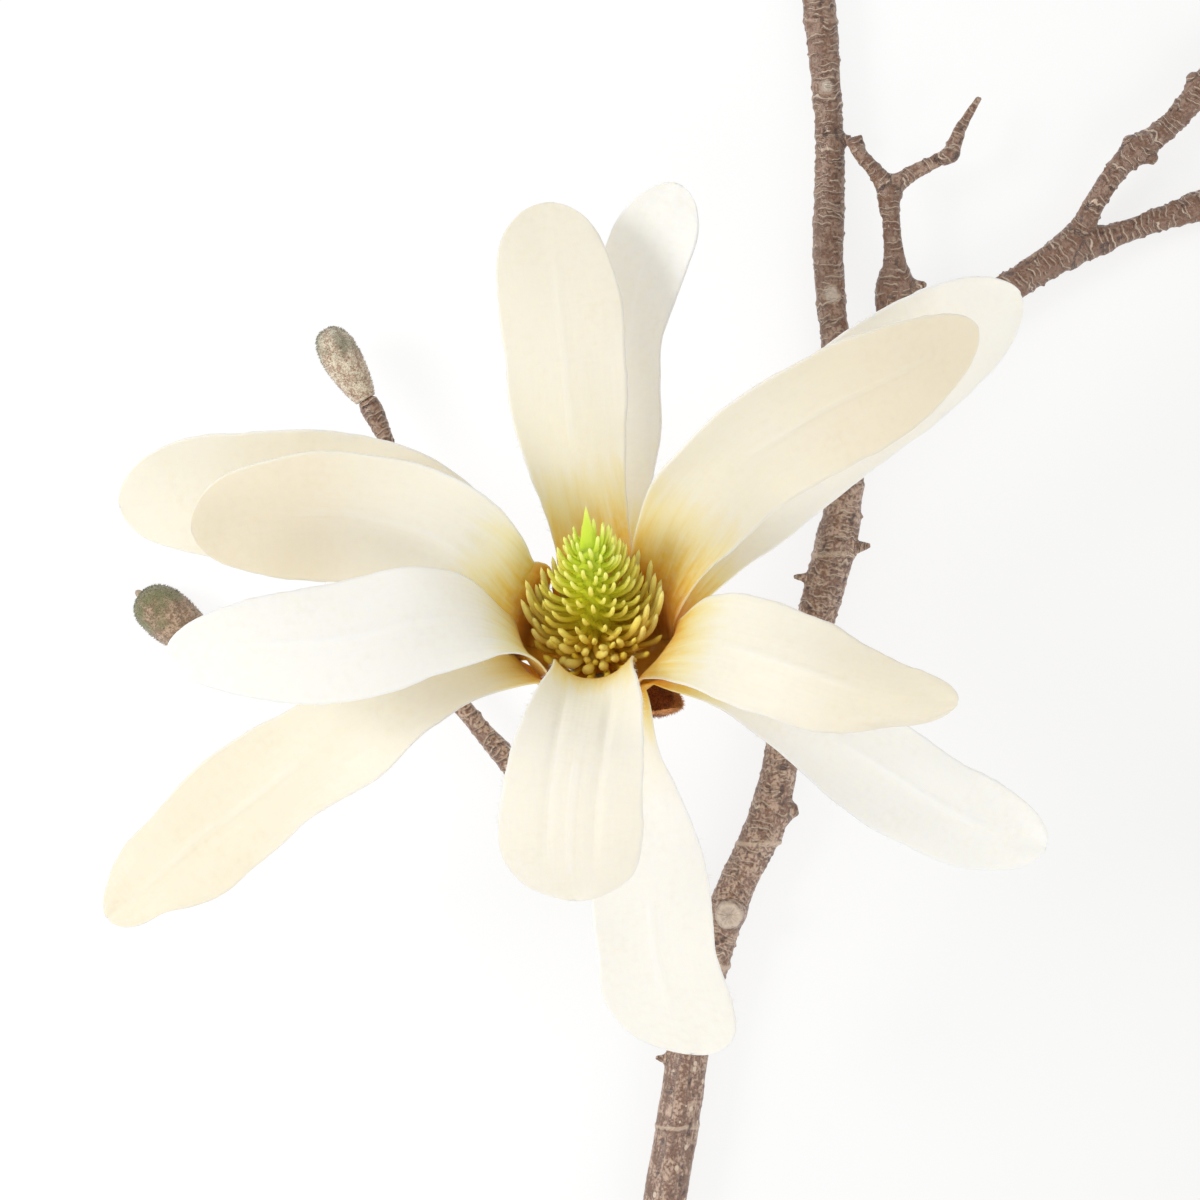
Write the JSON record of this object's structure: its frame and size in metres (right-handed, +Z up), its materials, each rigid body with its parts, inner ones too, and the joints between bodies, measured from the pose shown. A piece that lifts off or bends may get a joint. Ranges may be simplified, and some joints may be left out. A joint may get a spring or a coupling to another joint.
{
  "type": "magnolia branch",
  "caption": "Cut magnolia branch lying down, with one open star-shaped flower of long cream tepals around a green cone, closed felted buds and forked twigs.",
  "frame": {"origin": "under the middle of the whole branch, on the surface that it lies on", "axes": "+Y along the main stem from the cut end to the tip, +Z up from the surface, the flower faces +Z and +Y"},
  "size_m": [0.1486, 0.2018, 0.0609],
  "materials": {
    "bark": "cast bark, matte reddish brown with tan wrinkles and pores",
    "tepal": "satin-woven cream cloth, amber at the foot",
    "cone": "soft moulded, lime green with yellow tips",
    "stamens": "soft moulded, amber yellow",
    "receptacle": "matte amber brown",
    "scale": "felted rust brown",
    "bud": "flocked, grey green"
  },
  "bodies": {
    "root": {"branch": "bark", "receptacle": "receptacle", "pistil_cone": "cone", "stamens": "stamens", "bud_scale": "scale", "bud_upper": "bud", "bud_lower": "bud", "tepal_back_inner": "tepal", "tepal_right_upper_inner": "tepal", "tepal_right_lower_inner": "tepal", "tepal_front_inner": "tepal", "tepal_left_lower_inner": "tepal", "tepal_left_upper_inner": "tepal", "tepal_back_outer": "tepal", "tepal_right_upper_outer": "tepal", "tepal_right_lower_outer": "tepal", "tepal_front_outer": "tepal", "tepal_left_lower_outer": "tepal", "tepal_left_upper_outer": "tepal"}
  },
  "joints": []
}
